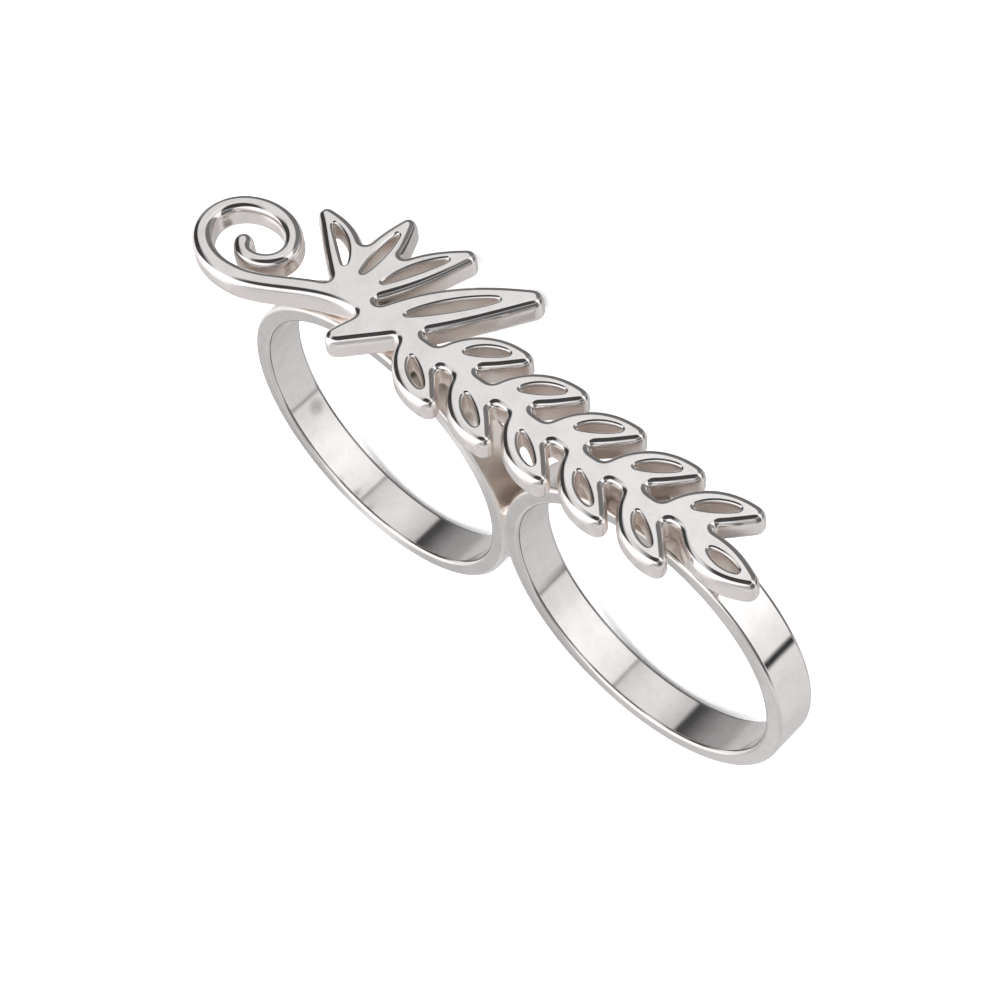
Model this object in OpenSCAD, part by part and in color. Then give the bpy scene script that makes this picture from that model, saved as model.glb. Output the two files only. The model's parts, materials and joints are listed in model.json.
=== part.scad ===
// Two-finger ring: two round bands soldered side by side, with a pierced branch of leaves, a fan of
// fronds and a scroll soldered across the tops of both. It lies on its side, as it does when it is put down.
// The worn frame has X along the ornament, Y along the fingers and Z out through the ornament.

/* [Bands] */
// Inner radius of each band, a US size 7
bore_r = 8.65; // [7.5:0.05:10.5]
// Wall of each band
band_wall = 1.06; // [0.9:0.02:1.4]
// Width of each band along the finger
band_w = 2.7; // [2.2:0.1:3.4]
// Radius on the corners of each band
band_edge = 0.18; // [0.1:0.02:0.3]
// Height of the solder that joins the two bands
solder_h = 4.0; // [3:0.2:5]

/* [Ornament] */
// Thickness of the pierced plate
plate_t = 1.5; // [1.2:0.1:1.8]
// Depth that the plate sinks into the bands at the solder
plate_sink = 0.15; // [0.1:0.05:0.2]
// Width of the stem where the fronds leave it
stem_w = 1.2; // [1:0.1:1.4]
// Number of leaves on each side of the stem
leaves = 5; // [3:1:5]
// Distance from one leaf to the next
leaf_pitch = 3.9; // [3.7:0.05:4]
// Width of a leaf
leaf_w = 2.3; // [2.1:0.05:2.4]
// Radius of the round ends of a leaf or frond, as a share of its width
tip_share = 0.23; // [0.2:0.01:0.28]
// Width of the slit in a leaf or frond, as a share of its width
slit_share = 0.24; // [0.2:0.01:0.26]
// Radius of the small fillets in the corners of the openings
crotch_r = 0.12; // [0.08:0.02:0.16]

/* [Hidden] */
$fn = 64;
weld_overlap = 0.1;
band_r = bore_r + band_wall;
band_flat = 0.02;
band_x = band_r - band_flat;
plate_z = band_r - plate_sink;

// Stem, leaves and fronds lie in the plane of the plate
stem_y = -0.2;
stem_start = -12;
leaf_start = -4.9;
leaf_end = leaf_start + leaves * leaf_pitch;
leaf_steps = 16;
slit_steps = 8;
cap_steps = 6;

// Fronds of the fan. Columns: base, tip, width, bend to the left, shares of the length where the slit
// starts and ends. Base and tip are the middles of the round ends
fronds = [
    [[-10.0, -2.6], [-3.55, 5.9], 2.8, 0.4, 0.36, 0.84],
    [[-11.0, -0.2], [-8.2, 5.9], 2.2, 0.3, 0.26, 0.84],
    [[-11.6, -0.2], [-12.3, 5.5], 2.2, 0, 0.26, 0.84],
    [[-12.0, -0.2], [-16.4, 3.2], 2.2, -0.6, 0.28, 0.84]
];

// Leaves above and below the stem and the leaf at its end, with the same columns
leaves_above = [for (i = [0:leaves - 1])
    let (x = leaf_start + i * leaf_pitch) [[x, -0.4], [x + 3.75, 2.6], leaf_w, 0.35, 0.34, 0.84]];
leaves_below = [for (i = [0:leaves - 1])
    let (x = leaf_start + (i - 0.5) * leaf_pitch) [[x, 0], [x + 3.6, -2.6], leaf_w, -0.35, 0.34, 0.84]];
end_leaf = [[leaf_end - 2.2, stem_y], [leaf_end + 2.1, -0.7], leaf_w, -0.2, 0.38, 0.84];
leaf_rows = concat(fronds, leaves_above, leaves_below, [end_leaf]);

// Scroll at the left end: an oval that winds inwards to a small berry
scroll_c = [-18.3, -0.6];
scroll_rx = 3.15;
scroll_ry = 2.5;
scroll_from = -80;
scroll_to = -480;
scroll_shrink = 0.8;
scroll_w = 1.3;
scroll_end_w = 1;
scroll_steps = 48;
berry_r = 0.6;

function mix(a, b, t) = a * (1 - t) + b * t;
function mixes(a, b, t) = [for (k = t) mix(a, b, k)];
function unit(v) = v / norm(v);
function left_of(v) = [-v[1], v[0]];
function heading(v) = atan2(v[1], v[0]);
function tangents(p) = [for (i = [0:len(p) - 1]) unit(p[min(i + 1, len(p) - 1)] - p[max(i - 1, 0)])];

// Half circle about c, turning clockwise from the angle given
function cap(c, from, r) = [for (k = [1:cap_steps - 1])
    let (a = from - 180 * k / cap_steps) c + r * [cos(a), sin(a)]];

// Closed outline at the half widths h on both sides of the centre line p, with round ends
function outline(p, h) =
    let (t = tangents(p), n = len(p) - 1)
    concat(
        [for (i = [0:n]) p[i] + left_of(t[i]) * h[i]],
        cap(p[n], heading(t[n]) + 90, h[n]),
        [for (i = [n:-1:0]) p[i] - left_of(t[i]) * h[i]],
        cap(p[0], heading(t[0]) - 90, h[0]));

// Shares of a length from 0 to 1, closer together at both ends
function shares(n) = [for (i = [0:n]) (1 - cos(180 * i / n)) / 2];

// Centre line of a leaf at the shares u of its length: a quadratic curve from a to b, bowed to its left
function midrib(a, b, bend, u) =
    let (m = (a + b) / 2 + left_of(unit(b - a)) * 2 * bend)
    [for (k = u) a * (1 - k) * (1 - k) + m * 2 * k * (1 - k) + b * k * k];

// Closed outline at the half widths h on both sides of the centre line p, which meet at its ends
function lens(p, h) =
    let (t = tangents(p), n = len(p) - 1)
    concat(
        [for (i = [0:n]) p[i] + left_of(t[i]) * h[i]],
        [for (i = [n - 1:-1:1]) p[i] - left_of(t[i]) * h[i]]);

// Outline of a leaf or frond from its row: round ends, and in between the width of the row
function leaf_of(row) =
    let (u = shares(leaf_steps), r = tip_share * row[2])
    outline(midrib(row[0], row[1], row[3], u), [for (k = u) mix(r, row[2] / 2, sin(180 * k))]);

// Outline of its slit, which is pointed at both ends
function slit_of(row) =
    let (u = shares(slit_steps), r = slit_share * row[2] / 2)
    lens(midrib(row[0], row[1], row[3], mixes(row[4], row[5], u)), [for (k = u) r * pow(sin(180 * k), 0.6)]);

// Cubic curve through four control points
function cubic(a, b, c, d, n) = [for (i = [0:n - 1]) let (u = i / n, v = 1 - u)
    a * v * v * v + b * 3 * v * v * u + c * 3 * v * u * u + d * u * u * u];

// Point of the scroll at share k of its length
function scroll_point(k) =
    let (a = mix(scroll_from, scroll_to, k), r = 1 - scroll_shrink * pow(k, 2.5))
    scroll_c + [scroll_rx * r * cos(a), scroll_ry * r * sin(a)];

scroll_lead = cubic([-10.2, stem_y], [-13.4, stem_y], [-15.4, -3.0], scroll_point(0), 12);
scroll_line = concat(scroll_lead, [for (i = [0:scroll_steps]) scroll_point(i / scroll_steps)]);
scroll_half = [for (i = [1:len(scroll_line)]) mix(scroll_w, scroll_end_w, i / len(scroll_line)) / 2];
scroll_edge = outline(scroll_line, scroll_half);

// Angle that lifts the ornament when the ring lies on its longest frond and on both bands
tip_y = max([for (p = leaf_of(fronds[0])) p[1]]);
rim_y = band_w / 2 - band_edge;
rim_r = band_r - band_edge;
reach_y = tip_y - rim_y;
reach_z = plate_z + rim_r;
lift_angle = atan2(reach_y, reach_z) - asin(band_edge / norm([reach_y, reach_z]));

// Middle of the lying ring's length and depth, and the height of the bands' centres
scroll_tip_x = min([for (p = scroll_edge) p[0]]);
middle_x = (band_x + band_r + scroll_tip_x) / 2;
back_y = rim_r * cos(lift_angle) + rim_y * sin(lift_angle) + band_edge;
front_y = -(plate_z + plate_t) * cos(lift_angle) - tip_y * sin(lift_angle);
middle_y = (back_y + front_y) / 2;
centre_z = rim_y * cos(lift_angle) + rim_r * sin(lift_angle) + band_edge;

module stem() {
    polygon(outline([[stem_start, stem_y], [leaf_end - 1, stem_y]], [stem_w / 2, stem_w / 3]));
}

module scroll() {
    polygon(scroll_edge);
    translate(scroll_line[len(scroll_line) - 1]) circle(berry_r, $fn = 24);
}

module ornament_outline() {
    offset(r = -crotch_r, $fn = 12) offset(delta = crotch_r) difference() {
        union() {
            stem();
            scroll();
            for (row = leaf_rows) polygon(leaf_of(row));
        }
        for (row = leaf_rows) polygon(slit_of(row));
    }
}

module ornament() {
    translate([0, 0, plate_z]) linear_extrude(plate_t) ornament_outline();
}

// Section of a band: a rectangle with its four corners rounded
module band_section() {
    translate([bore_r + band_edge, -band_w / 2]) square([band_wall - 2 * band_edge, band_w]);
    translate([bore_r, -band_w / 2 + band_edge]) square([band_wall, band_w - 2 * band_edge]);
    for (r = [bore_r + band_edge, band_r - band_edge], y = [-1, 1])
        translate([r, y * (band_w / 2 - band_edge)]) circle(band_edge);
}

module band(x) {
    translate([x, 0, 0]) rotate([90, 0, 0]) rotate_extrude() band_section();
}

// Solder that fills the narrow space between the two round bands
module solder() {
    depth = band_w - 2 * band_edge;
    difference() {
        cube([band_wall, depth, solder_h], center = true);
        for (x = [-band_x, band_x]) translate([x, 0, 0]) rotate([90, 0, 0])
            cylinder(r = band_r - weld_overlap, h = band_w, center = true);
    }
}

// Turns the worn frame so that the frond tips point down, then lifts the ornament clear
module lay_down() {
    translate([middle_x, -middle_y, centre_z]) rotate([-lift_angle, 0, 0]) rotate([-90, 0, 180]) children();
}

module two_finger_ring() {
    color("silver") lay_down() {
        for (x = [-band_x, band_x]) band(x);
        solder();
        ornament();
    }
}

two_finger_ring();
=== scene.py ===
"""Looks of the two-finger ring: polished silver bands, their solder and the pierced plate on top."""

import json
import math
from copy import copy

import bpy
import numpy as np
from bpy.props import FloatProperty, FloatVectorProperty, IntProperty, PointerProperty
from mathutils import Matrix, Vector
from mathutils.geometry import delaunay_2d_cdt


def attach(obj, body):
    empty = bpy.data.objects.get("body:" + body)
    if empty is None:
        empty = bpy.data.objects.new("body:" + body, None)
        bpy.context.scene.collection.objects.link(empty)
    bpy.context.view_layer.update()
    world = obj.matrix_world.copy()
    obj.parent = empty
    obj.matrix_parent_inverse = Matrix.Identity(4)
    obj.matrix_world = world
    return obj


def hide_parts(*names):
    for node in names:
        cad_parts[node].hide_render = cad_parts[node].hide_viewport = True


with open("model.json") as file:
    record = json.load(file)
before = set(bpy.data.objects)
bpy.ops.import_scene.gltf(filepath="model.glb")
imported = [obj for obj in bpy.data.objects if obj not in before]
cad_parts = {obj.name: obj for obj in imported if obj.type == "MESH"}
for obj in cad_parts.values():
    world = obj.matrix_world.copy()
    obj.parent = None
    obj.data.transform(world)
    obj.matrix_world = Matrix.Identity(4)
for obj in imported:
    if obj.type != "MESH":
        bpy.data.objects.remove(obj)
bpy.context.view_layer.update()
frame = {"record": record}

bl_info = {
    "name": "Two-finger ring",
    "version": (1, 0, 0),
    "blender": (4, 5, 0),
    "location": "View3D > Sidebar > Ring",
    "description": "Builds a polished silver two-finger ring with a pierced plate",
    "category": "Add Mesh",
}

MM = 0.001
NODE = "two_finger_ring"
MOUNTS = {mount["name"]: mount for mount in frame["record"]["mounts"]}
SCROLL_HOLE = MOUNTS["finger_hole_scroll_end"]
LEAF_HOLE = MOUNTS["finger_hole_leaf_end"]


class RingSizes(bpy.types.PropertyGroup):
    """Sizes and colours of the ring that a user would change."""

    bore: FloatProperty(
        name="Finger hole", description="Radius of each finger hole",
        default=SCROLL_HOLE["dims"]["r_mm"] * MM, unit="LENGTH", subtype="DISTANCE", precision=5)
    wall: FloatProperty(
        name="Band wall", description="Thickness of each band",
        default=0.00106, unit="LENGTH", subtype="DISTANCE", precision=5)
    width: FloatProperty(
        name="Band width", description="Width of each band along the finger",
        default=0.0027, unit="LENGTH", subtype="DISTANCE", precision=5)
    corner: FloatProperty(
        name="Band corner", description="Radius on the corners of each band",
        default=0.00024, unit="LENGTH", subtype="DISTANCE", precision=5)
    solder: FloatProperty(
        name="Solder height", description="Height of the solder between the bands",
        default=0.004, unit="LENGTH", subtype="DISTANCE", precision=5)
    plate: FloatProperty(
        name="Plate thickness", description="Thickness of the pierced plate",
        default=0.0015, unit="LENGTH", subtype="DISTANCE", precision=5)
    sink: FloatProperty(
        name="Plate sink", description="Depth that the plate sinks into the bands",
        default=0.00015, unit="LENGTH", subtype="DISTANCE", precision=5)
    leaves: IntProperty(
        name="Leaves", description="Number of leaves on each side of the stem", default=5, min=3, max=5)
    pitch: FloatProperty(
        name="Leaf pitch", description="Distance from one leaf to the next",
        default=0.0039, unit="LENGTH", subtype="DISTANCE", precision=5)
    silver: FloatVectorProperty(
        name="Silver", description="Colour of the polished silver",
        default=(0.93, 0.915, 0.905), size=3, subtype="COLOR", min=0.0, max=1.0)
    # Painted reflection: the plate's steep walls get a warm colour, lighter than the silver, that stands in
    # for the warm surroundings they reflect
    shade: FloatVectorProperty(
        name="Sawn edge", description="Colour of the plate's sawn outer walls",
        default=(0.97, 0.915, 0.895), size=3, subtype="COLOR", min=0.0, max=1.0)
    # Tarnish and painted shade: a brown colour laid where polishing can't reach, and darker further down in
    # narrow gaps and slits, under the plate, in the notch and on the solder
    tarnish_and_shade_colour: FloatVectorProperty(
        name="Stain", description="Colour of the silver in slits and corners that polishing can't reach",
        default=(0.77, 0.68, 0.61), size=3, subtype="COLOR", min=0.0, max=1.0)


# Worn frame: X along the plate, Y along the fingers, Z out through the plate

def hole_centre(mount):
    """Centre of a finger hole in metres."""
    return np.array(mount["pos_m"])


def worn_axes():
    """Origin midway between the finger holes and the three axes of the worn frame, as rows."""
    start, end = hole_centre(SCROLL_HOLE), hole_centre(LEAF_HOLE)
    along = (end - start) / np.linalg.norm(end - start)
    finger = -np.array(SCROLL_HOLE["axis"])
    finger = finger / np.linalg.norm(finger)
    return (start + end) / 2, np.stack([along, finger, np.cross(along, finger)])


def band_offset():
    """Distance in millimetres from the middle of the ring to the centre of each band."""
    return np.linalg.norm(hole_centre(LEAF_HOLE) - hole_centre(SCROLL_HOLE)) / 2 / MM


def place(points):
    """Points of the worn frame in millimetres, as metres in the row frame."""
    origin, axes = worn_axes()
    return origin + (np.asarray(points) * MM) @ axes


# Mesh

def make_piece(name, points, faces, material, attributes=()):
    """A smooth mesh object at the origin from points of the worn frame and faces as index lists."""
    mesh = bpy.data.meshes.new(name)
    mesh.from_pydata(place(points).tolist(), [], faces)
    mesh.validate()
    for key, values in attributes:
        layer = mesh.attributes.new(key, "FLOAT", "POINT")
        layer.data.foreach_set("value", np.ascontiguousarray(values, dtype=np.float32))
    mesh.shade_smooth()
    mesh.materials.append(material)
    piece = bpy.data.objects.new(name, mesh)
    bpy.context.collection.objects.link(piece)
    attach(piece, "root")
    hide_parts(NODE)
    return piece


def torus_faces(rings, sides):
    """Quads of a grid of rings by sides that closes on itself both ways."""
    i, j = np.meshgrid(np.arange(rings), np.arange(sides), indexing="ij")
    i2, j2 = (i + 1) % rings, (j + 1) % sides
    return np.stack([i * sides + j, i * sides + j2, i2 * sides + j2, i2 * sides + j], -1).reshape(-1, 4)


def rise(values, start, length):
    """Values as shares that rise from 0 at a start to 1 at a length beyond it. A negative length turns
    the ramp round."""
    return np.clip((values - start) / length, 0.0, 1.0)


def smooth(values, passes):
    """Values or points round a closed loop, smoothed by passes of a 1-2-1 mean."""
    for _ in range(passes):
        values = (np.roll(values, 1, axis=0) + 2 * values + np.roll(values, -1, axis=0)) / 4
    return values


# Bands

BAND_STEPS = 384
CORNER_STEPS = 6
FLAT_STEPS = 6
# Share of a flat from its end to the row that keeps it flat
FLAT_GUARD = 0.015
# Ramps of the bands' tarnish and painted shade, each the place where it is 0 and the way on to where it is
# 1, in millimetres: up to the plate, back from the end of the leaves, into the notch and up from the solder
PLATE_RAMP = (6.8, 1.8)
LEAVES_RAMP = (13.0, -2.5)
NOTCH_RAMP = (3.4, -1.4)
SOLDER_RAMP = (0.8, 1.0)
# Smudge inside the scroll end's band: point of the worn frame and radius, in millimetres
SMUDGES = [((-17.1, 0.45, -4.4), 0.75)]


def band_profile(inner, outer, half_width, corner):
    """Radius and finger-way place round a band's section: a rectangle whose corners are quarter circles."""
    turn = np.linspace(0.0, np.pi / 2, CORNER_STEPS + 1)
    centres = [
        (outer - corner, half_width - corner, 0.0),
        (inner + corner, half_width - corner, np.pi / 2),
        (inner + corner, -half_width + corner, np.pi),
        (outer - corner, -half_width + corner, 1.5 * np.pi),
    ]
    arcs = [
        np.stack([r + corner * np.cos(turn + a), y + corner * np.sin(turn + a)], -1) for r, y, a in centres]
    share = np.linspace(0.0, 1.0, FLAT_STEPS + 1)
    share[[0, -1]] = FLAT_GUARD, 1 - FLAT_GUARD
    share = share[:, None]
    flats = [arcs[k][-1] * (1 - share) + arcs[(k + 1) % 4][0] * share for k in range(4)]
    return np.concatenate([part for pair in zip(arcs, flats) for part in pair])


def band_surface(centre, profile):
    """The section carried round a circle: x = centre + r cos t, y = y, z = r sin t."""
    t = np.linspace(0.0, 2 * np.pi, BAND_STEPS, endpoint=False)[:, None]
    r, y = profile[:, 0], profile[:, 1]
    grid = np.stack([centre + r * np.cos(t), y + 0 * t, r * np.sin(t)], -1)
    return grid.reshape(-1, 3)


def band_tarnish_and_shade(points):
    """Tarnish and painted shade of the bands from 0 to 1: a ramp up to the plate, where shade falls under
    it, which ends with the leaves, and a ramp into the notch between the bands above their solder."""
    x, z = points[:, 0], points[:, 2]
    near_plate = rise(z, *PLATE_RAMP) * rise(x, *LEAVES_RAMP)
    in_notch = rise(np.abs(x), *NOTCH_RAMP) * rise(z, *SOLDER_RAMP)
    return np.maximum(near_plate, in_notch)


class RING_OT_bands(bpy.types.Operator):
    """Makes the two round bands"""

    bl_idname = "ring.bands"
    bl_label = "Bands"

    def execute(self, context):
        sizes = context.scene.ring_sizes
        inner, corner = sizes.bore / MM, sizes.corner / MM
        profile = band_profile(inner, inner + sizes.wall / MM, sizes.width / MM / 2, corner)
        faces = torus_faces(BAND_STEPS, len(profile)).tolist()
        radius = profile[:, 0]
        bore = np.tile(rise(radius, inner + corner, -corner), BAND_STEPS)
        skin = np.tile(rise(radius, radius.max() - corner, corner), BAND_STEPS)
        for name, side in (("scroll_end_band", -1), ("leaf_end_band", 1)):
            points = band_surface(side * band_offset(), profile)
            # Tarnish and painted shade on the outer surface, up under the plate and into the notch
            make_piece(name, points, faces, silver_material("band_silver", sizes, smudges=SMUDGES), [
                ("bore", bore), ("deep", skin * band_tarnish_and_shade(points))])
        return {"FINISHED"}


# Solder

SOLDER_ROWS = 24
SOLDER_SIDES = 24
# Depth that the solder bites into the bands, its set-back from their faces and the dip of its ends
SOLDER_BITE = 0.16
SOLDER_SINK = 0.1
SOLDER_DIP = 0.3
# Powers that square the section and that keep the dip near the ends
SECTION_POWER = 0.4
DIP_POWER = 8
# Ramp of its tarnish and painted shade, up from the middle towards the plate
TARNISH_AND_SHADE_RAMP = (0.0, 1.0)


def signed_power(values, power):
    """Values raised to a power, with their signs kept."""
    return np.sign(values) * np.abs(values) ** power


def solder_surface(outer, half_height, half_depth):
    """A rounded section lofted up the gap: at height z its half width is the gap between the round
    bands plus a bite into them, and both ends dip in the middle by a parabola."""
    height = np.linspace(-1.0, 1.0, SOLDER_ROWS)[:, None]
    turn = np.linspace(0.0, 2 * np.pi, SOLDER_SIDES, endpoint=False)
    z = half_height * height
    gap = band_offset() - np.sqrt(outer ** 2 - z ** 2) + SOLDER_BITE
    x = gap * signed_power(np.cos(turn), SECTION_POWER)
    y = half_depth * signed_power(np.sin(turn), SECTION_POWER) + 0 * z
    lip = SOLDER_DIP * (x / gap.max()) ** 2 * signed_power(height, DIP_POWER)
    rows = np.stack([x, y, z + lip], -1).reshape(-1, 3)
    ends = np.array([[0.0, 0.0, -half_height], [0.0, 0.0, half_height]])
    j = np.arange(SOLDER_SIDES)
    j2 = (j + 1) % SOLDER_SIDES
    i = np.arange(SOLDER_ROWS - 1)[:, None] * SOLDER_SIDES
    quads = np.stack([i + j, i + j2, i + SOLDER_SIDES + j2, i + SOLDER_SIDES + j], -1).reshape(-1, 4)
    last = (SOLDER_ROWS - 1) * SOLDER_SIDES
    low = np.stack([j2, j, np.full_like(j, len(rows))], -1)
    high = np.stack([last + j, last + j2, np.full_like(j, len(rows) + 1)], -1)
    return np.concatenate([rows, ends]), quads.tolist() + low.tolist() + high.tolist()


class RING_OT_solder(bpy.types.Operator):
    """Makes the solder that joins the two bands"""

    bl_idname = "ring.solder"
    bl_label = "Solder"

    def execute(self, context):
        sizes = context.scene.ring_sizes
        points, faces = solder_surface(
            (sizes.bore + sizes.wall) / MM, sizes.solder / MM / 2, sizes.width / MM / 2 - SOLDER_SINK)
        # Tarnish and painted shade on the solder, from the middle up towards the plate
        make_piece("band_solder", points, faces, silver_material("solder_silver", sizes), [
            ("deep", rise(points[:, 2], *TARNISH_AND_SHADE_RAMP))])
        return {"FINISHED"}


# Outline of the plate, in millimetres of the worn frame

STEM_Y = -0.2
STEM_START = -12.0
STEM_WIDTH = 1.2
# Distance by which the stem stops short of where a next leaf would start
STEM_SHORT = 1.0
LEAF_START = -4.9
LEAF_WIDTH = 2.3
LEAF_STEPS = 48
SLIT_STEPS = 40
# Radius of the round ends and width of the slit, as shares of a leaf's width
TIP_SHARE = 0.23
SLIT_SHARE = 0.24
# Power of the sine that shapes a slit
SLIT_POWER = 0.6

SCROLL_CENTRE = np.array([-18.3, -0.6])
SCROLL_RADII = np.array([3.15, 2.5])
SCROLL_FROM, SCROLL_TO = math.radians(-80), math.radians(-480)
SCROLL_SHRINK = 0.8
SCROLL_POWER = 2.5
SCROLL_WIDTH, SCROLL_END_WIDTH = 1.3, 1.0
SCROLL_STEPS = 160
SCROLL_LEAD = [(-10.2, STEM_Y), (-13.4, STEM_Y), (-15.4, -3.0)]
LEAD_STEPS = 40
BERRY_RADIUS = 0.6
# Offsets of a stroke so short that it is a dot
DOT = np.array([[0.0, 0.0], [0.0, 0.001]])

# Box round the plate: its lower left corner, its top, and its reach past where a next leaf would start
PLATE_CORNER = (-22.1, -3.6)
PLATE_TOP = 6.6
END_REACH = 2.9
# Grid over that box, with a margin on all sides
GRID_STEP = 0.05
GRID_MARGIN = 1.9
# Distance out to which a shape is joined to the grid, and the distance that stands for far away
SHAPE_MARGIN = 1.0
FAR = 9.0
# Least square of a segment's length, and the distance below which points are one
LEAST_SQUARE = 1e-12
MERGE_DISTANCE = 1e-7

# Radii that fill the corners of the outline and round its tips
CROTCH_RADIUS = 0.12
TIP_RADIUS = 0.47
# Step along a loop, its least number of points and the passes that smooth it
OUTLINE_STEP = 0.06
LEAST_POINTS = 8
OUTLINE_PASSES = 3

# Edge of the plate: steps of its rounding, its wall and the small rounding underneath
EDGE_STEPS = 10
WALL_STEPS = 3
UNDER_STEPS = 3
UNDER_RADIUS = 0.28
ARC_SUMS = 200
# Inset of the rows that keep the flats flat, as a share of the rounded edge's
GUARD_SHARE = 1.03
# Width and depth of the rounded edge, round the outline and round the slits
OUTLINE_EDGE = (0.42, 0.575)
SLIT_EDGE = (0.2, 0.274)
# Slope of the rounded edge. Columns: share of its length, degrees from the flat
EDGE_SLOPES = [(0.0, 7.0), (0.3, 32.0), (0.42, 56.0), (1.0, 90.0)]
# Sine of the slope from which the rounded edge turns into sawn wall
WALL_SINE = 0.9

# Gaps in front of a wall: up to the narrow one it is fully sheltered, from the open one on it isn't
NARROW_GAP, OPEN_GAP = 0.5, 1.7
GAP_STEPS = 16
TARNISH_AND_SHADE_PASSES = 6
# Tarnish and painted shade at the top of a sheltered wall, and what the whole depth adds to it, so that it
# is darker further down
TARNISH_AND_SHADE_TOP, TARNISH_AND_SHADE_GAIN = 0.6, 0.5
# Painted shade: brightness of the plate's silver beside the bands', lowered so that its flat top looks less
# bright
PLATE_SHADE_TONE = 0.94


def leaf_rows(count, pitch):
    """Rows of the fronds, the leaves on both sides of the stem and the leaf at its end. Columns: base,
    tip, width, bend to the left, and the shares of the length where the slit starts and ends."""
    fronds = [
        ((-10.0, -2.6), (-3.55, 5.9), 2.8, 0.4, 0.36, 0.84),
        ((-11.0, -0.2), (-8.2, 5.9), 2.2, 0.3, 0.26, 0.84),
        ((-11.6, -0.2), (-12.3, 5.5), 2.2, 0.0, 0.26, 0.84),
        ((-12.0, -0.2), (-16.4, 3.2), 2.2, -0.6, 0.28, 0.84),
    ]
    start = LEAF_START + pitch * np.arange(count)
    above = [((x, -0.4), (x + 3.75, 2.6), LEAF_WIDTH, 0.35, 0.34, 0.84) for x in start]
    below = [((x, 0.0), (x + 3.6, -2.6), LEAF_WIDTH, -0.35, 0.34, 0.84) for x in start - pitch / 2]
    end = LEAF_START + pitch * count
    return fronds + above + below + [((end - 2.2, STEM_Y), (end + 2.1, -0.7), LEAF_WIDTH, -0.2, 0.38, 0.84)]


def left_normals(line):
    """Unit vectors to the left of a line of points."""
    along = np.gradient(line, axis=0)
    along = along / np.linalg.norm(along, axis=1, keepdims=True)
    return np.stack([-along[:, 1], along[:, 0]], -1)


def midrib(row, k):
    """Points at the shares k of a quadratic curve from base to tip, bowed to its left."""
    start, end = np.array(row[0]), np.array(row[1])
    chord = end - start
    left = np.array([-chord[1], chord[0]]) / np.linalg.norm(chord)
    middle = (start + end) / 2 + left * 2 * row[3]
    k = k[:, None]
    return start * (1 - k) ** 2 + middle * 2 * k * (1 - k) + end * k ** 2


def leaf_stroke(row):
    """Midrib and half widths of a leaf: the radius of its round ends, and in between half its width,
    blended by sin(180 u)."""
    u = np.linspace(0.0, 1.0, LEAF_STEPS + 1)
    half = row[2] * (TIP_SHARE + (0.5 - TIP_SHARE) * np.sin(np.pi * u))
    return midrib(row, u), half


def slit_outline(row):
    """Closed outline of a leaf's slit. Its half width is its share of the leaf's, by a power of
    sin(180 u), so that it is pointed at both ends."""
    u = (1 - np.cos(np.linspace(0.0, np.pi, SLIT_STEPS + 1))) / 2
    line = midrib(row, row[4] + (row[5] - row[4]) * u)
    half = SLIT_SHARE * row[2] / 2 * np.abs(np.sin(np.pi * u)) ** SLIT_POWER
    side = left_normals(line) * half[:, None]
    return even_steps(np.concatenate([line + side, (line - side)[-2:0:-1]]))


def scroll_line():
    """Lead and scroll: a cubic curve that runs on into an oval, whose radii shrink by a power of the
    share of the turn."""
    k = np.linspace(0.0, 1.0, SCROLL_STEPS + 1)
    turn = SCROLL_FROM + (SCROLL_TO - SCROLL_FROM) * k
    radii = SCROLL_RADII * (1 - SCROLL_SHRINK * k ** SCROLL_POWER)[:, None]
    oval = SCROLL_CENTRE + radii * np.stack([np.cos(turn), np.sin(turn)], -1)
    a, b, c = (np.array(p) for p in SCROLL_LEAD)
    u = np.linspace(0.0, 1.0, LEAD_STEPS, endpoint=False)[:, None]
    lead = a * (1 - u) ** 3 + b * 3 * (1 - u) ** 2 * u + c * 3 * (1 - u) * u ** 2 + oval[0] * u ** 3
    return np.concatenate([lead, oval])


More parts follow.
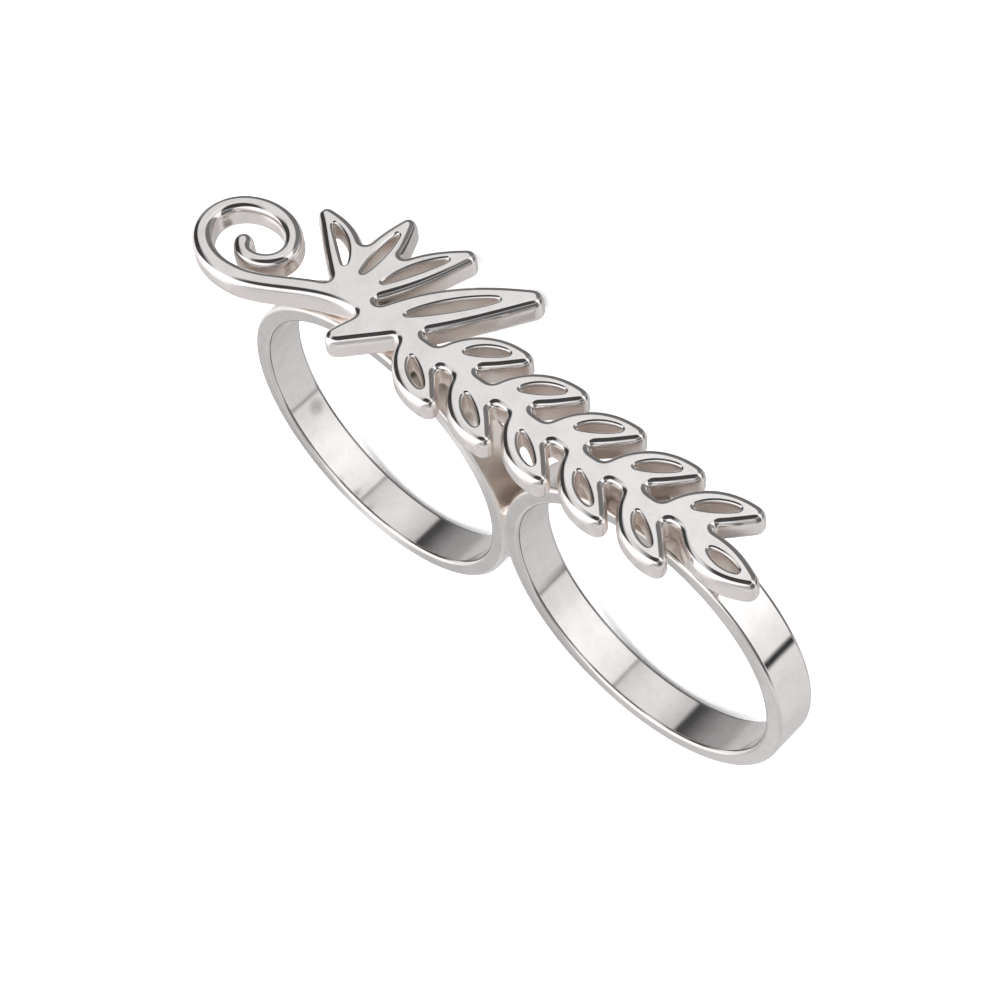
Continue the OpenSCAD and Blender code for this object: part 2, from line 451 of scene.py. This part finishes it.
class Field:
    """A signed distance on a square grid, negative in the metal."""

    def __init__(self, low, high):
        self.low = np.array(low) - GRID_MARGIN
        count = np.ceil((np.array(high) + GRID_MARGIN - self.low) / GRID_STEP).astype(int) + 1
        self.values = np.full((count[1], count[0]), FAR)

    def copy_with(self, values):
        """The same grid with other values."""
        other = copy(self)
        other.values = values
        return other

    def window(self, points, margin):
        """Rows and columns of the grid within a margin of some points, and the places of their nodes."""
        rows, columns = self.values.shape
        first = np.maximum(np.floor((points.min(0) - margin - self.low) / GRID_STEP).astype(int), 0)
        last = np.ceil((points.max(0) + margin - self.low) / GRID_STEP).astype(int) + 1
        part = (slice(first[1], min(last[1], rows)), slice(first[0], min(last[0], columns)))
        y, x = np.mgrid[part]
        return part, self.low + GRID_STEP * np.stack([x, y], -1)

    def add_shape(self, outline, cut=False):
        """Joins the inside of a closed outline to the metal, or cuts it out."""
        part, nodes = self.window(outline, SHAPE_MARGIN)
        following = np.roll(outline, -1, axis=0)
        distance = segment_distance(nodes[..., None, :], outline, following).min(-1)
        rising = (outline[:, 1] > nodes[..., None, 1]) != (following[:, 1] > nodes[..., None, 1])
        drop = np.where(following[:, 1] == outline[:, 1], 1.0, following[:, 1] - outline[:, 1])
        crossing = outline[:, 0] + (nodes[..., None, 1] - outline[:, 1]) * (following - outline)[:, 0] / drop
        inside = (rising & (nodes[..., None, 0] < crossing)).sum(-1) % 2 == 1
        signed = np.where(inside, -distance, distance)
        if cut:
            self.values[part] = np.maximum(self.values[part], -signed)
        else:
            self.values[part] = np.minimum(self.values[part], signed)

    def add_stroke(self, line, half):
        """Joins a stroke with round ends along a line, with a half width at each of its points."""
        part, nodes = self.window(line, half.max() + SHAPE_MARGIN)
        distance = segment_distance(nodes[..., None, :], line[:-1], line[1:], half[:-1], half[1:]).min(-1)
        self.values[part] = np.minimum(self.values[part], distance)

    def at(self, points):
        """Values at points, blended between the four nodes round each."""
        cell = (points - self.low) / GRID_STEP
        base = np.floor(cell).astype(int)
        i, j = base[..., 0], base[..., 1]
        s, t = cell[..., 0] - i, cell[..., 1] - j
        v = self.values
        below = v[j, i] * (1 - s) + v[j, i + 1] * s
        above = v[j + 1, i] * (1 - s) + v[j + 1, i + 1] * s
        return below * (1 - t) + above * t

    def redistance(self, level):
        """The same metal, grown by the level, with exact distances near its edge."""
        loops = self.contour(level)
        a = np.concatenate(loops)
        b = np.concatenate([np.roll(loop, -1, axis=0) for loop in loops])
        reach = int(math.ceil((CROTCH_RADIUS + TIP_RADIUS) / GRID_STEP)) + 2
        span = np.arange(-reach, reach + 1)
        near = np.round((a - self.low) / GRID_STEP).astype(int)
        column = np.clip(near[:, 0, None, None] + span[None, None, :], 0, self.values.shape[1] - 1)
        row = np.clip(near[:, 1, None, None] + span[None, :, None], 0, self.values.shape[0] - 1)
        column, row = np.broadcast_arrays(column, row)
        nodes = self.low + GRID_STEP * np.stack([column, row], -1)
        distance = segment_distance(nodes, a[:, None, None], b[:, None, None])
        closest = np.full(self.values.size, FAR)
        np.minimum.at(closest, (row * self.values.shape[1] + column).ravel(), distance.ravel())
        closest = closest.reshape(self.values.shape)
        return self.copy_with(np.where(self.values < level, -closest, closest))

    def contour(self, level):
        """Closed loops where the field has a level, with the metal on their left, at even steps."""
        v = self.values - level
        inside = v < 0
        rows, columns = v.shape
        code = inside[:-1, :-1] + 2 * inside[:-1, 1:] + 4 * inside[1:, 1:] + 8 * inside[1:, :-1]
        node = np.arange(v.size).reshape(v.shape)[:-1, :-1]
        # Edge numbers of a cell: bottom, right, top, left
        edges = np.stack([node, v.size + node + 1, node + columns, v.size + node], -1)
        starts, ends = [], []
        for case, pairs in CELL_CASES.items():
            cell = edges[code == case]
            for first, last in pairs:
                starts.append(cell[:, first])
                ends.append(cell[:, last])
        starts, ends = np.concatenate(starts), np.concatenate(ends)
        names, index = np.unique(starts, return_inverse=True)
        follow = np.empty(len(names), dtype=int)
        follow[index] = np.searchsorted(names, ends)
        upright = names >= v.size
        at = names - v.size * upright
        j, i = at // columns, at % columns
        j2, i2 = j + upright, i + ~upright
        share = v[j, i] / (v[j, i] - v[j2, i2])
        points = self.low + GRID_STEP * np.stack([i + share * ~upright, j + share * upright], -1)
        return [even_steps(points[loop]) for loop in order_loops(follow)]


# Line pieces of a contour in each kind of cell, from edge to edge: bottom 0, right 1, top 2, left 3
CELL_CASES = {
    1: [(0, 3)], 2: [(1, 0)], 3: [(1, 3)], 4: [(2, 1)], 5: [(0, 3), (2, 1)], 6: [(2, 0)], 7: [(2, 3)],
    8: [(3, 2)], 9: [(0, 2)], 10: [(1, 0), (3, 2)], 11: [(1, 2)], 12: [(3, 1)], 13: [(0, 1)], 14: [(3, 0)],
}


def segment_distance(nodes, a, b, half_a=0.0, half_b=0.0):
    """Distance from nodes to the segments from a to b, less a half width that runs from a to b."""
    along = b - a
    square = np.maximum((along ** 2).sum(-1), LEAST_SQUARE)
    t = np.clip(((nodes - a) * along).sum(-1) / square, 0.0, 1.0)
    gap = nodes - a - along * t[..., None]
    return np.sqrt((gap ** 2).sum(-1)) - (half_a * (1 - t) + half_b * t)


def order_loops(follow):
    """Index arrays of the closed loops in a table of followers, found by doubling the step."""
    count = len(follow)
    leader, jump = np.arange(count), follow.copy()
    rounds = int(math.ceil(math.log2(count))) + 1
    for _ in range(rounds):
        leader = np.minimum(leader, leader[jump])
        jump = jump[jump]
    is_leader = leader == np.arange(count)
    steps = np.where(is_leader, 0, 1)
    jump = np.where(is_leader, np.arange(count), follow)
    for _ in range(rounds):
        steps = steps + steps[jump]
        jump = jump[jump]
    order = np.lexsort((-steps, leader))
    return np.split(order, np.flatnonzero(np.diff(leader[order])) + 1)


def even_steps(loop):
    """A closed loop at even steps along its length, smoothed."""
    closed = np.concatenate([loop, loop[:1]])
    length = np.concatenate([[0.0], np.cumsum(np.linalg.norm(np.diff(closed, axis=0), axis=1))])
    count = max(int(round(length[-1] / OUTLINE_STEP)), LEAST_POINTS)
    at = np.linspace(0.0, length[-1], count, endpoint=False)
    return smooth(np.stack([np.interp(at, length, closed[:, k]) for k in (0, 1)], -1), OUTLINE_PASSES)


def loop_normals(loop):
    """Unit vectors out of the metal, to the right of a closed loop, from differences of fourth order."""
    one = np.roll(loop, -1, axis=0) - np.roll(loop, 1, axis=0)
    two = np.roll(loop, -2, axis=0) - np.roll(loop, 2, axis=0)
    along = 8 * one - two
    along = along / np.linalg.norm(along, axis=1, keepdims=True)
    return np.stack([along[:, 1], -along[:, 0]], -1)


def plate_field(leaves, pitch):
    """Stem, scroll, berry, fronds and leaves joined. The metal is then grown and cut back, which fills
    the corners, and cut back and grown, which rounds the tips."""
    line = scroll_line()
    end = LEAF_START + leaves * pitch
    field = Field(PLATE_CORNER, (end + END_REACH, PLATE_TOP))
    stem = np.array([[STEM_START, STEM_Y], [end - STEM_SHORT, STEM_Y]])
    field.add_stroke(stem, np.array([STEM_WIDTH / 2, STEM_WIDTH / 3]))
    field.add_stroke(line, np.linspace(SCROLL_WIDTH, SCROLL_END_WIDTH, len(line)) / 2)
    field.add_stroke(line[-1] + DOT, np.full(len(DOT), BERRY_RADIUS))
    for row in leaf_rows(leaves, pitch):
        field.add_stroke(*leaf_stroke(row))
    grown = field.redistance(CROTCH_RADIUS)
    return grown.redistance(-CROTCH_RADIUS - TIP_RADIUS)


def edge_arc():
    """Slope, inset and drop along a rounded edge, the last two from 0 to 1. The slope follows a table,
    and the inset and drop are the running sums of its cosine and its sine."""
    share, slope = np.array(EDGE_SLOPES).T
    fine = np.linspace(0.0, 1.0, ARC_SUMS + 1)
    bend = np.radians(np.interp(fine, share, slope))
    way = np.stack([np.cos(bend), np.sin(bend)])
    sums = np.pad(np.cumsum(way[:, 1:] + way[:, :-1], axis=1), ((0, 0), (1, 0)))
    slopes = np.linspace(slope[0], slope[-1], EDGE_STEPS + 1)
    at = np.interp(slopes, slope, share)
    inset, drop = (np.interp(at, fine, total / total[-1])[:, None] for total in sums)
    return np.radians(slopes)[:, None], inset, drop


def plate_profile(inset, drop, low, high):
    """Inset, height and wall share down a plate's edge, for points whose rounded edge has an inset and a
    drop: the rounded edge, the wall and a small quarter circle, with a flat guard row at both ends. The
    wall share rises to 1 with the sine of the rounded edge's slope."""
    slope, arc_inset, arc_drop = edge_arc()
    under_turn = np.linspace(0.0, np.pi / 2, UNDER_STEPS + 1)[:, None]
    share = np.linspace(0.0, 1.0, WALL_STEPS + 1)[1:-1, None]
    guard = GUARD_SHARE * inset[None]
    even = 0 * inset
    insets = [
        guard,
        inset * (1 - arc_inset),
        even * share,
        UNDER_RADIUS * (1 - np.cos(under_turn)) + even,
        guard,
    ]
    heights = [
        high + 0 * guard,
        high - drop * arc_drop,
        (high - drop) * (1 - share) + (low + UNDER_RADIUS) * share,
        low + UNDER_RADIUS * (1 - np.sin(under_turn)) + even,
        low + 0 * guard,
    ]
    walls = [
        0 * guard,
        rise(np.sin(slope), WALL_SINE, 1 - WALL_SINE) + even,
        1 + even * share,
        1 + even * under_turn,
        1 + 0 * guard,
    ]
    return tuple(np.concatenate(rows) for rows in (insets, heights, walls))


def gap_tarnish_and_shade(field, loop, outward):
    """Tarnish and painted shade on the walls of a loop from 0 to 1: steps are taken out from each point
    until they meet metal, and the narrower that gap is, the nearer the value is to 1. The first two steps,
    on the wall itself, are left out."""
    reach = np.linspace(0.0, OPEN_GAP, GAP_STEPS + 1)[2:, None]
    met = field.at(loop + outward * reach[..., None]) < TIP_RADIUS
    gap = np.where(met, reach, OPEN_GAP).min(0)
    return smooth(rise(gap, OPEN_GAP, NARROW_GAP - OPEN_GAP), TARNISH_AND_SHADE_PASSES)


def cap_triangles(points, following, field):
    """Triangles that fill the flat of the plate inside its loops: a constrained Delaunay net, kept
    where the middle of a triangle lies in the metal."""
    links = np.stack([np.arange(len(points)), following], -1)
    result = delaunay_2d_cdt([Vector(p) for p in points.tolist()], links.tolist(), [], 0, MERGE_DISTANCE)
    net = np.array([face[:] for face in result[2] if len(face) == 3])
    if len(result[0]) != len(points):
        raise RuntimeError("the plate's loops cross each other")
    net = net[field.at(points[net].mean(1)) < 0]
    a, b, c = points[net[:, 0]], points[net[:, 1]], points[net[:, 2]]
    turn = (b - a)[:, 0] * (c - a)[:, 1] - (b - a)[:, 1] * (c - a)[:, 0]
    net[turn < 0] = net[turn < 0][:, ::-1]
    return net


def plate_surface(leaves, pitch, low, high):
    """Points, faces, wall share, and tarnish with painted shade of the pierced plate. The edge profile is
    carried along every loop of the outline and round every slit, and the flats are filled with triangles.
    The tarnish and painted shade grow with the depth below the top."""
    field = plate_field(leaves, pitch)
    body = field.contour(TIP_RADIUS)
    slits = [slit_outline(row) for row in leaf_rows(leaves, pitch)]
    loops = body + slits
    outline = np.concatenate(loops)
    outward = np.concatenate([loop_normals(loop) for loop in loops])
    deep = np.concatenate(
        [gap_tarnish_and_shade(field, loop, loop_normals(loop)) for loop in body] + [np.ones(len(slit)) for slit in slits])
    count = len(outline)
    first = np.concatenate([[0], np.cumsum([len(loop) for loop in loops])])
    following = np.arange(count) + 1
    following[first[1:] - 1] = first[:-1]
    in_slit = np.arange(count) >= first[len(body)]
    inset, drop = (np.where(in_slit, narrow, wide) for narrow, wide in zip(SLIT_EDGE, OUTLINE_EDGE))
    insets, heights, wall = plate_profile(inset, drop, low, high)
    flat = outline[None] - outward[None] * insets[..., None]
    points = np.concatenate([flat, heights[..., None]], -1)
    row = np.arange(len(points) - 1)[:, None] * count
    i = np.arange(count)
    quads = np.stack([row + i, row + count + i, row + count + following, row + following], -1).reshape(-1, 4)
    flats = field.copy_with(field.values - TIP_RADIUS + GUARD_SHARE * OUTLINE_EDGE[0])
    for start, end in zip(first[len(body):-1], first[len(body) + 1:]):
        flats.add_shape(flat[0][start:end], cut=True)
    net = cap_triangles(flat[0], following, flats)
    under = net[:, ::-1] + (len(points) - 1) * count
    faces = quads.tolist() + net.tolist() + under.tolist()
    depth = (high - heights) / (high - low)
    # Tarnish and painted shade: full in slits, more in narrow gaps and more further down the wall
    sheltered = wall * deep * (TARNISH_AND_SHADE_TOP + TARNISH_AND_SHADE_GAIN * depth)
    return points.reshape(-1, 3), faces, wall.ravel(), sheltered.ravel()


class RING_OT_plate(bpy.types.Operator):
    """Makes the pierced plate of leaves, fronds and scroll"""

    bl_idname = "ring.plate"
    bl_label = "Pierced plate"

    def execute(self, context):
        sizes = context.scene.ring_sizes
        low = (sizes.bore + sizes.wall - sizes.sink) / MM
        high = low + sizes.plate / MM
        points, faces, wall, deep = plate_surface(sizes.leaves, sizes.pitch / MM, low, high)
        make_piece("pierced_plate", points, faces, silver_material("plate_silver", sizes, PLATE_SHADE_TONE), [
            ("wall", wall), ("deep", deep)])
        return {"FINISHED"}


# Material

# Noise in the silver: scales of its swell, its clouds and its grain, its detail and its middle value
NOISE_SCALES = (150.0, 900.0, 4200.0)
NOISE_DETAIL = 3.0
NOISE_MIDDLE = 0.5
# Tones of the clouds in the polish, and what the grain adds to them
CLOUD_TONES = [(0.3, (0.93, 0.92, 0.91)), (0.6, (1.0, 1.0, 1.0))]
CLOUD_GRAIN = 0.4
# Cover of the painted wall reflection and of the tarnish with its painted shade: at the middle of the
# clouds, and what the clouds add
WALL_REFLECTION_COVER = (0.75, 0.5)
TARNISH_AND_SHADE_COVER = (0.7, 1.6)
# Smudge: its colour, its cover, what the grain adds to that, and the core's share of its radius
SMUDGE_COLOUR = (0.3, 0.28, 0.27, 1.0)
SMUDGE_COVER = (0.35, 0.4)
SMUDGE_CORE = 0.2
# Painted shade inside the finger holes: the share of black over the silver there
BORE_SHADE = 0.15
BLACK = (0.0, 0.0, 0.0, 1.0)
# Roughness of the polish, and what clouds, finger hole, sawn wall and the tarnished, shaded places add to it
POLISH_ROUGH = 0.06
ADDED_ROUGH = (0.04, 0.02, 0.16, 0.25)
# Depth of the hand-polished unevenness in metres, and heights of its swell, clouds and grain
BUMP_DEPTH = 0.00001
SWELL_HEIGHT, CLOUD_HEIGHT, GRAIN_HEIGHT = 1.6, 0.1, 0.02


class Signal:
    """An output socket of a node tree. Arithmetic on signals adds Math nodes."""

    def __init__(self, graph, socket):
        self.graph, self.socket = graph, socket

    def maths(self, operation, first, second):
        """A Math node on two numbers or signals."""
        node = self.graph.add("ShaderNodeMath", {"operation": operation}, {0: first, 1: second})
        return Signal(self.graph, node.outputs[0])

    def __add__(self, other):
        return self.maths("ADD", self, other)

    def __sub__(self, other):
        return self.maths("SUBTRACT", self, other)

    def __rsub__(self, other):
        return self.maths("SUBTRACT", other, self)

    def __mul__(self, other):
        return self.maths("MULTIPLY", self, other)

    __radd__ = __add__
    __rmul__ = __mul__


class Graph:
    """A node tree, emptied first."""

    def __init__(self, tree):
        self.tree = tree
        self.tree.nodes.clear()

    def add(self, kind, settings, values):
        """A node of a kind: first its settings, where stops are a ramp's rows of a place and a colour,
        and then the values or links of its sockets."""
        node = self.tree.nodes.new(kind)
        for key, value in settings.items():
            if key == "stops":
                set_stops(node.color_ramp.elements, value)
            else:
                setattr(node, key, value)
        for key, value in values.items():
            if isinstance(value, Signal):
                self.tree.links.new(value.socket, node.inputs[key])
            else:
                node.inputs[key].default_value = value
        return node

    def signal(self, kind, settings, values, output=0):
        """One output of a new node as a signal."""
        return Signal(self, self.add(kind, settings, values).outputs[output])

    def ramp(self, value, rows):
        """A colour ramp on a signal from 0 to 1, from rows of a place and a colour."""
        return self.signal("ShaderNodeValToRGB", {"stops": rows}, {"Fac": value}, "Color")

    def mix(self, factor, first, second, blend="MIX"):
        """A Mix node on two colours, whose sockets are 6 and 7 going in and 2 coming out."""
        return self.signal(
            "ShaderNodeMix", {"data_type": "RGBA", "blend_type": blend}, {0: factor, 6: first, 7: second}, 2)

    def ease(self, value, start, full):
        """A signal as a share that rises smoothly from 0 at a start to 1 at a full value."""
        return self.signal("ShaderNodeMapRange", {"interpolation_type": "SMOOTHSTEP"}, {
            "Value": value, "From Min": start, "From Max": full})


def set_stops(stops, rows):
    """Gives a ramp one stop for each row of a place and a colour."""
    while len(stops) < len(rows):
        stops.new(1.0)
    for stop, (position, colour) in zip(stops, rows):
        stop.position = position
        stop.color = (*colour, 1.0)


def new_material(name):
    """A material and its empty node tree."""
    material = bpy.data.materials.new(name)
    material.use_nodes = True
    return material, Graph(material.node_tree)


def silver_material(name, sizes, shade_tone=1.0, smudges=()):
    """Polished silver: near white metal, hand-polished so that its shine and its level vary a little, satin
    inside the finger holes and darkened there by painted shade, with the sawn walls of the plate duller and
    given a warmer, lighter colour as painted reflection, and tarnished and darkened by painted shade where
    it is sheltered. The shade_tone darkens all of it as painted shade. A smudge is a soft dark spot: a point
    of the worn frame and a radius in millimetres."""
    if name in bpy.data.materials:
        return bpy.data.materials[name]
    material, graph = new_material(name)
    place_of = graph.signal("ShaderNodeTexCoord", {}, {}, "Object")
    swell, cloud, grain = (
        graph.signal("ShaderNodeTexNoise", {}, {"Vector": place_of, "Scale": scale, "Detail": NOISE_DETAIL})
        for scale in NOISE_SCALES)
    wall, bore, deep = (
        graph.signal("ShaderNodeAttribute", {"attribute_name": key}, {}, "Fac")
        for key in ("wall", "bore", "deep"))
    tones = graph.ramp(cloud + CLOUD_GRAIN * (grain - NOISE_MIDDLE), CLOUD_TONES)
    # Painted shade: the shade_tone darkens the silver's colour, on the plate only
    silver = (*(shade_tone * channel for channel in sizes.silver), 1.0)
    colour = graph.mix(1.0, silver, tones, "MULTIPLY")
    # Painted reflection on the plate's walls, then tarnish and painted shade where the silver is sheltered
    for mask, (cover, clouds), tint in ((wall, WALL_REFLECTION_COVER, sizes.shade), (deep, TARNISH_AND_SHADE_COVER, sizes.tarnish_and_shade_colour)):
        colour = graph.mix(mask * (cover + clouds * (cloud - NOISE_MIDDLE)), colour, (*tint, 1.0))
    for point, radius in smudges:
        away = graph.signal("ShaderNodeVectorMath", {"operation": "DISTANCE"}, {
            0: place_of, 1: tuple(place(point))}, "Value")
        spot = graph.ease(away, radius * MM, SMUDGE_CORE * radius * MM)
        colour = graph.mix(spot * (SMUDGE_COVER[0] + SMUDGE_COVER[1] * grain), colour, SMUDGE_COLOUR)
    # Painted shade: black mixed over the silver inside the finger holes
    colour = graph.mix(BORE_SHADE * bore, colour, BLACK)
    rough = sum((share * mask for share, mask in zip(ADDED_ROUGH, (cloud, bore, wall, deep))), POLISH_ROUGH)
    height = SWELL_HEIGHT * swell + CLOUD_HEIGHT * cloud + GRAIN_HEIGHT * grain
    bump = graph.signal("ShaderNodeBump", {}, {
        "Strength": 1.0, "Distance": BUMP_DEPTH, "Height": height}, "Normal")
    shader = graph.signal("ShaderNodeBsdfPrincipled", {}, {
        "Base Color": colour, "Metallic": 1.0, "Roughness": rough, "Normal": bump})
    graph.add("ShaderNodeOutputMaterial", {}, {"Surface": shader})
    return material


# Studio

# Angles in degrees, distance and steps aside in metres, lens and sensor in millimetres
CAMERA_AZIMUTH, CAMERA_ELEVATION, CAMERA_ROLL = 47.855, 54.446, -6.762
CAMERA_DISTANCE = 0.145585
CAMERA_SHIFT = (-0.001125, 0.001096)
CAMERA_LENS = 95.06
CAMERA_SENSOR = 36.0
CAMERA_CLIP = (0.01, 10.0)
FLOOR_HALF = 1.5
FLOOR_COLOUR = (0.93, 0.93, 0.93, 1.0)
# Light on the floor and behind it, which leaves both white
PLAIN_LIGHT = (2.4, 2.4, 2.4, 1.0)


def camera_matrix():
    """The camera's matrix: it looks along a direction given in the worn frame, with the photo's roll."""
    origin, axes = worn_axes()
    a, e, roll = (math.radians(x) for x in (CAMERA_AZIMUTH, CAMERA_ELEVATION, CAMERA_ROLL))
    back = np.array([math.sin(a) * math.cos(e), -math.cos(a) * math.cos(e), math.sin(e)])
    level = np.array([math.cos(a), math.sin(a), 0.0])
    upright = np.cross(back, level)
    right = math.cos(roll) * level + math.sin(roll) * upright
    up = math.cos(roll) * upright - math.sin(roll) * level
    eye = back * CAMERA_DISTANCE + right * CAMERA_SHIFT[0] + up * CAMERA_SHIFT[1]
    matrix = Matrix.Identity(4)
    for column, vector in enumerate((right, up, back)):
        matrix.col[column].xyz = vector @ axes
    matrix.col[3].xyz = origin + eye @ axes
    return matrix


# Light tent round the ring, seen in the silver. Each list is a zone of it, whose panels run round the
# finger axis. Columns: turn in degrees from the leaf end over the top of the plate, brightness
TENT_FRONT = [
    (0, 0.45), (14, 0.5), (30, 1.0), (42, 1.1), (60, 1.2), (120, 1.35), (195, 1.35), (230, 1.0), (246, 0.6),
    (300, 0.57), (332, 0.75), (346, 0.42),
]
TENT_ARCH = [
    (0, 0.12), (38, 0.14), (55, 0.6), (63, 0.05), (109, 0.04), (117, 0.8), (126, 0.8), (131, 0.4),
    (136, 0.04), (170, 0.04), (182, 0.7), (188, 1.0), (214, 0.95), (226, 0.58), (236, 0.56), (238, 0.44),
    (239.6, 0.46), (240.3, 0.9), (241.2, 0.9), (241.8, 0.48), (243, 0.56), (245, 0.45), (247.2, 0.45),
    (247.8, 0.78), (248.4, 0.78), (249.2, 0.4), (250.5, 0.68), (300, 0.57), (335, 0.7), (350, 0.12),
]
TENT_MIDDLE = [
    (0, 0.90), (11, 0.95), (22, 1.12), (34, 1.20), (48, 1.24), (60, 1.16), (73, 1.08), (80.6, 1.02),
    (81.6, 0.34), (82.6, 0.34), (83.6, 0.76), (101, 0.93), (112, 0.96), (122, 0.86), (138, 0.66),
    (140.5, 0.05), (147, 0.09), (160, 0.27), (170, 0.37), (190, 0.44), (199, 0.62), (219, 0.66),
    (252, 0.73), (268, 0.59), (303, 0.70), (340, 0.77), (351.5, 0.80), (352.5, 0.2), (353.7, 0.2),
    (354.9, 0.88),
]
# The same with a black card in place of its last four panels, seen on the outside of the leaf end's band
TENT_CARD = TENT_MIDDLE[:-4] + [(346.9, 0.79), (347.6, 0.0), (352.7, 0.0), (353.5, 0.86)]
TENT_BACK = [
    (0, 0.1), (16, 0.14), (28, 0.4), (55, 0.4), (75, 0.2), (200, 0.15), (230, 0.5), (300, 0.5),
    (328, 0.6), (342, 0.1),
]
# Zones from the camera's side to the far side. Columns: panels, and the finger-way part of a direction
# from which a zone begins to show and from which it shows alone
TENT_ZONES = [
    (TENT_FRONT, -1.0, -1.0), (TENT_ARCH, -0.6, -0.4), (TENT_MIDDLE, 0.18, 0.24), (TENT_CARD, 0.386, 0.394),
    (TENT_MIDDLE, 0.47, 0.48), (TENT_BACK, 0.48, 0.6),
]
TENT_TINT = (1.0, 0.985, 0.985)


def tent_world():
    """The world: plain white to the eye and to the floor, and the light tent in reflections."""
    world = bpy.data.worlds.new("light_tent")
    world.use_nodes = True
    graph = Graph(world.node_tree)
    way = graph.signal("ShaderNodeTexCoord", {}, {}, "Generated")
    along, finger, out = (
        graph.signal("ShaderNodeVectorMath", {"operation": "DOT_PRODUCT"}, {0: way, 1: tuple(axis)}, "Value")
        for axis in worn_axes()[1])
    turn = graph.signal("ShaderNodeMath", {"operation": "ARCTAN2"}, {0: out, 1: along})
    share = graph.signal("ShaderNodeMath", {"operation": "FRACT"}, {0: turn * (0.5 / math.pi)})
    tent = None
    for rows, start, full in TENT_ZONES:
        closed = rows + [(360, rows[0][1])]
        zone = graph.ramp(share, [(a / 360, tuple(b * k for k in TENT_TINT)) for a, b in closed])
        tent = zone if tent is None else graph.mix(graph.ease(finger, start, full), tent, zone)
    mirrored = graph.signal("ShaderNodeLightPath", {}, {}, "Is Glossy Ray")
    colour = graph.mix(mirrored, PLAIN_LIGHT, tent)
    shader = graph.signal("ShaderNodeBackground", {}, {"Color": colour})
    graph.add("ShaderNodeOutputWorld", {}, {"Surface": shader})
    return world


class RING_OT_studio(bpy.types.Operator):
    """Makes the floor, the light tent and the camera"""

    bl_idname = "ring.studio"
    bl_label = "Studio"

    def execute(self, context):
        scene = context.scene
        mesh = bpy.data.meshes.new("floor")
        corners = [(FLOOR_HALF * x, FLOOR_HALF * y, 0.0) for x, y in ((-1, -1), (1, -1), (1, 1), (-1, 1))]
        mesh.from_pydata(corners, [], [(0, 1, 2, 3)])
        material, graph = new_material("floor_white")
        shader = graph.signal("ShaderNodeBsdfPrincipled", {}, {
            "Base Color": FLOOR_COLOUR, "Roughness": 1.0, "Specular IOR Level": 0.0})
        graph.add("ShaderNodeOutputMaterial", {}, {"Surface": shader})
        mesh.materials.append(material)
        floor = bpy.data.objects.new("floor", mesh)
        scene.collection.objects.link(floor)
        floor.visible_glossy = False
        scene.world = tent_world()
        data = bpy.data.cameras.new("camera")
        data.sensor_width = CAMERA_SENSOR
        data.lens = CAMERA_LENS
        data.clip_start, data.clip_end = CAMERA_CLIP
        camera = bpy.data.objects.new("camera", data)
        scene.collection.objects.link(camera)
        camera.matrix_world = camera_matrix()
        scene.camera = camera
        scene.view_settings.view_transform = "Standard"
        return {"FINISHED"}


class RING_PT_panel(bpy.types.Panel):
    """Panel with the sizes and the steps of the ring"""

    bl_idname = "RING_PT_panel"
    bl_label = "Two-finger ring"
    bl_space_type = "VIEW_3D"
    bl_region_type = "UI"
    bl_category = "Ring"

    def draw(self, context):
        sizes = context.scene.ring_sizes
        for key in RingSizes.__annotations__:
            self.layout.prop(sizes, key)
        for step in STEPS:
            self.layout.operator(step.bl_idname)


STEPS = (RING_OT_studio, RING_OT_bands, RING_OT_solder, RING_OT_plate)
CLASSES = (RingSizes, *STEPS, RING_PT_panel)


def register():
    """Registers the classes and the ring's sizes."""
    for item in CLASSES:
        bpy.utils.register_class(item)
    bpy.types.Scene.ring_sizes = PointerProperty(type=RingSizes)


def unregister():
    """Takes the classes and the ring's sizes back out."""
    del bpy.types.Scene.ring_sizes
    for item in reversed(CLASSES):
        bpy.utils.unregister_class(item)


def main():
    """Registers the add-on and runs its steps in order."""
    register()
    bpy.ops.ring.studio()
    bpy.ops.ring.bands()
    bpy.ops.ring.solder()
    bpy.ops.ring.plate()


if __name__ == "__main__":
    main()
